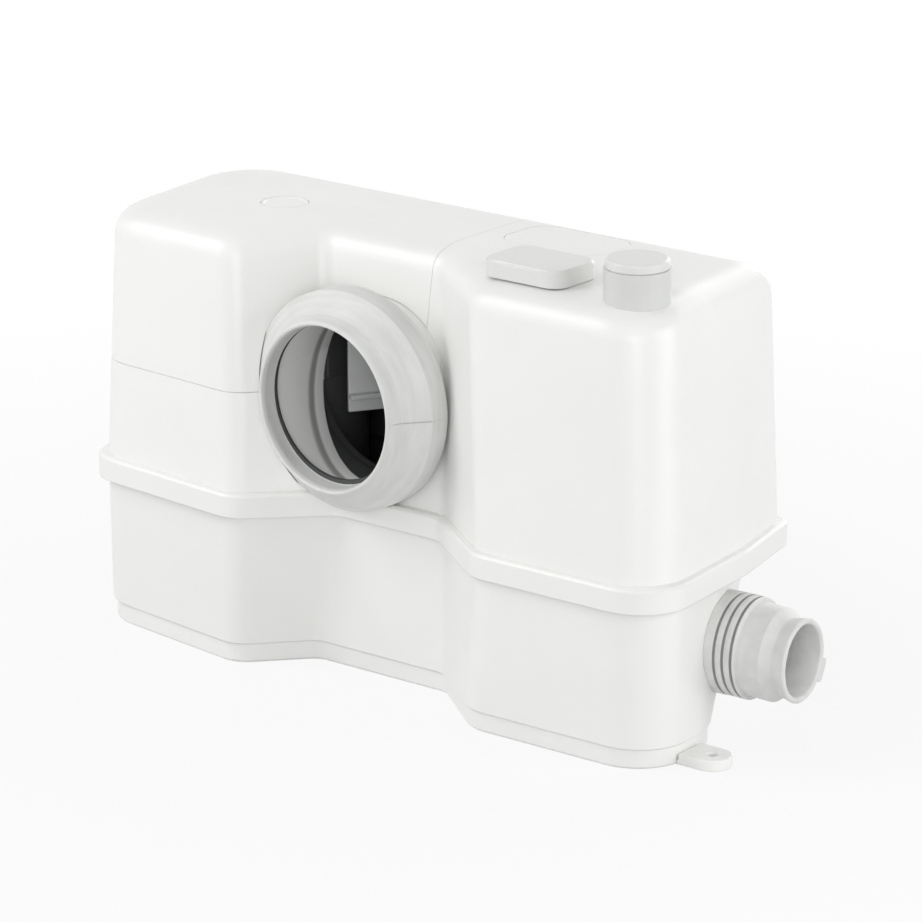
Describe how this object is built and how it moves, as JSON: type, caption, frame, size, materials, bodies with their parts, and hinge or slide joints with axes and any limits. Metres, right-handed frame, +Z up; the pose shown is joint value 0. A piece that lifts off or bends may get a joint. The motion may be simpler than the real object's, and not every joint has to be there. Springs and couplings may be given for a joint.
{
  "type": "macerator toilet pump",
  "caption": "Moulded tank that stands behind a toilet, with a rubber inlet collar, a ribbed side inlet, a motor hood, a cutter pump and a non-return valve.",
  "frame": {"origin": "on the floor, under the axis of the toilet inlet, at mid depth of the tank", "axes": "+Z up, +X towards the side inlet, the toilet inlet faces -Y"},
  "size_m": [0.5346, 0.1853, 0.3],
  "materials": {
    "white_polypropylene": "moulded, slightly translucent",
    "hood_polypropylene": "moulded, slightly translucent",
    "pale_rubber": "moulded, soft",
    "grey_polypropylene": "moulded",
    "pale_grey_plastic": "moulded, smooth",
    "black_rubber": "moulded",
    "black_nylon": "moulded",
    "carbon": "porous",
    "cast_aluminium": "die cast",
    "drawn_steel": "deep drawn",
    "stainless_steel": "turned and ground",
    "lamination_steel": "stacked sheets",
    "enamelled_copper": "wound and varnished",
    "slate_polymer": "glass filled",
    "cream_plastic": "moulded",
    "circuit_board": "laminate"
  },
  "bodies": {
    "unit": {"tank_base": "white_polypropylene", "tank_cover": "white_polypropylene", "rim_seal": "black_rubber", "motor_cover": "hood_polypropylene", "motor_cover_screws": "stainless_steel", "inlet_collar": "pale_rubber", "splash_baffle": "grey_polypropylene", "side_sleeve": "pale_rubber", "filter_frame": "pale_grey_plastic", "carbon_filter": "carbon", "stub_lid": "pale_grey_plastic", "outlet_hatch": "white_polypropylene", "foot_bracket_right": "pale_grey_plastic", "foot_bracket_left": "pale_grey_plastic", "cable_gland": "black_nylon", "motor_can": "drawn_steel", "motor_end_plate": "cast_aluminium", "motor_flange": "cast_aluminium", "motor_bolts": "stainless_steel", "stator_core": "lamination_steel", "stator_windings": "enamelled_copper", "upper_bearing": "stainless_steel", "lower_bearing": "stainless_steel", "shaft_seal": "black_rubber", "pump_casing": "slate_polymer", "suction_plate": "slate_polymer", "casing_bolts": "stainless_steel", "cutter_ring": "stainless_steel", "discharge_pipe": "grey_polypropylene", "valve_body": "grey_polypropylene", "valve_pin": "stainless_steel", "outlet_sleeve": "black_rubber", "outlet_clip": "stainless_steel", "capacitor": "cream_plastic", "capacitor_clip": "drawn_steel", "control_box": "pale_grey_plastic", "control_board": "circuit_board", "pressure_switch": "cream_plastic", "switch_diaphragm": "black_rubber", "level_tube": "grey_polypropylene"},
    "rotor": {"rotor_core": "lamination_steel", "motor_shaft": "stainless_steel", "cooling_fan": "black_nylon", "impeller": "stainless_steel", "cutter_blade": "stainless_steel", "blade_nut": "stainless_steel"},
    "flap": {"valve_flap": "black_rubber"},
    "cap": {"filter_cap": "pale_grey_plastic"},
    "plug": {"shaft_plug": "hood_polypropylene"},
    "plunger": {"switch_plunger": "cream_plastic"}
  },
  "joints": [
    {"name": "rotor_spin", "type": "hinge", "parent": "unit", "child": "rotor", "pos_m": [-0.107, 0.014, 0.15], "axis": [0, 0, 1], "continuous": true},
    {"name": "flap_swing", "type": "hinge", "parent": "unit", "child": "flap", "pos_m": [0.091, 0.0645, 0.2044], "axis": [-1, 0, 0], "range_deg": [0, 45]},
    {"name": "cap_lift", "type": "slide", "parent": "unit", "child": "cap", "axis": [0, 0, 1], "range_m": [0, 0.03]},
    {"name": "plug_lift", "type": "slide", "parent": "unit", "child": "plug", "axis": [0, 0, 1], "range_m": [0, 0.02]},
    {"name": "plunger_travel", "type": "slide", "parent": "unit", "child": "plunger", "axis": [0, 0, 1], "range_m": [0, 0.0015], "stiffness_N_per_m": 60}
  ]
}
